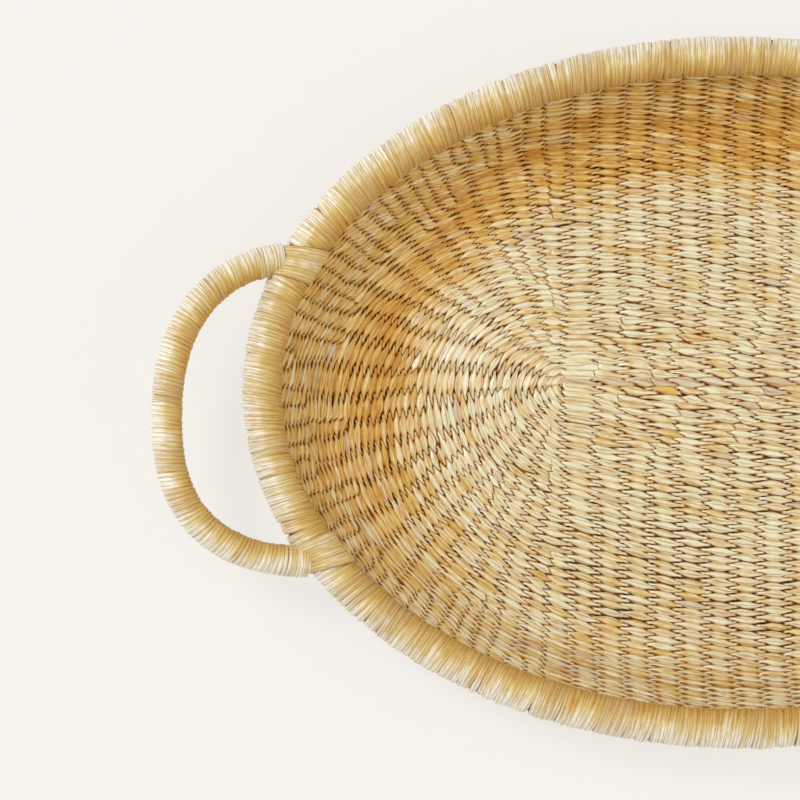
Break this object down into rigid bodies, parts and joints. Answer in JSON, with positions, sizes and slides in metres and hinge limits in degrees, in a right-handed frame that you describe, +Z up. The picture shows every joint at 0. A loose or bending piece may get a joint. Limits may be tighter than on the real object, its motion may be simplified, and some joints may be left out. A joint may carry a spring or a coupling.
{
  "type": "oval woven tray",
  "caption": "Shallow oval tray twined from natural grass straw, with a bound rim and a bound carrying handle at each end.",
  "frame": {"origin": "under the middle of the tray, on the plane it rests on", "axes": "+X along the tray towards one handle, +Y across it, +Z up"},
  "size_m": [0.5884, 0.36, 0.0696],
  "materials": {
    "weft_straw": "natural twisted grass straw",
    "stake_straw": "natural grass straw",
    "binding_straw": "smooth split grass straw",
    "core_straw": "bundled grass straw"
  },
  "bodies": {
    "root": {"cross_stake_01": "stake_straw", "cross_stake_02": "stake_straw", "cross_stake_03": "stake_straw", "cross_stake_04": "stake_straw", "cross_stake_05": "stake_straw", "cross_stake_06": "stake_straw", "cross_stake_07": "stake_straw", "cross_stake_08": "stake_straw", "cross_stake_09": "stake_straw", "cross_stake_10": "stake_straw", "cross_stake_11": "stake_straw", "cross_stake_12": "stake_straw", "fan_stakes_left": "stake_straw", "fan_stakes_right": "stake_straw", "seam_row_face": "weft_straw", "seam_row_back": "weft_straw", "weft_face_01": "weft_straw", "weft_back_01": "weft_straw", "weft_face_02": "weft_straw", "weft_back_02": "weft_straw", "weft_face_03": "weft_straw", "weft_back_03": "weft_straw", "weft_face_04": "weft_straw", "weft_back_04": "weft_straw", "weft_face_05": "weft_straw", "weft_back_05": "weft_straw", "weft_face_06": "weft_straw", "weft_back_06": "weft_straw", "weft_face_07": "weft_straw", "weft_back_07": "weft_straw", "weft_face_08": "weft_straw", "weft_back_08": "weft_straw", "weft_face_09": "weft_straw", "weft_back_09": "weft_straw", "weft_face_10": "weft_straw", "weft_back_10": "weft_straw", "weft_face_11": "weft_straw", "weft_back_11": "weft_straw", "weft_face_12": "weft_straw", "weft_back_12": "weft_straw", "weft_face_13": "weft_straw", "weft_back_13": "weft_straw", "weft_face_14": "weft_straw", "weft_back_14": "weft_straw", "rim_core": "core_straw", "handle_core_left": "core_straw", "handle_binding_left": "binding_straw", "lashing_left_front": "binding_straw", "lashing_left_back": "binding_straw", "handle_core_right": "core_straw", "handle_binding_right": "binding_straw", "lashing_right_front": "binding_straw", "lashing_right_back": "binding_straw", "rim_binding_back": "binding_straw", "rim_binding_left": "binding_straw", "rim_binding_front": "binding_straw", "rim_binding_right": "binding_straw"}
  },
  "joints": []
}
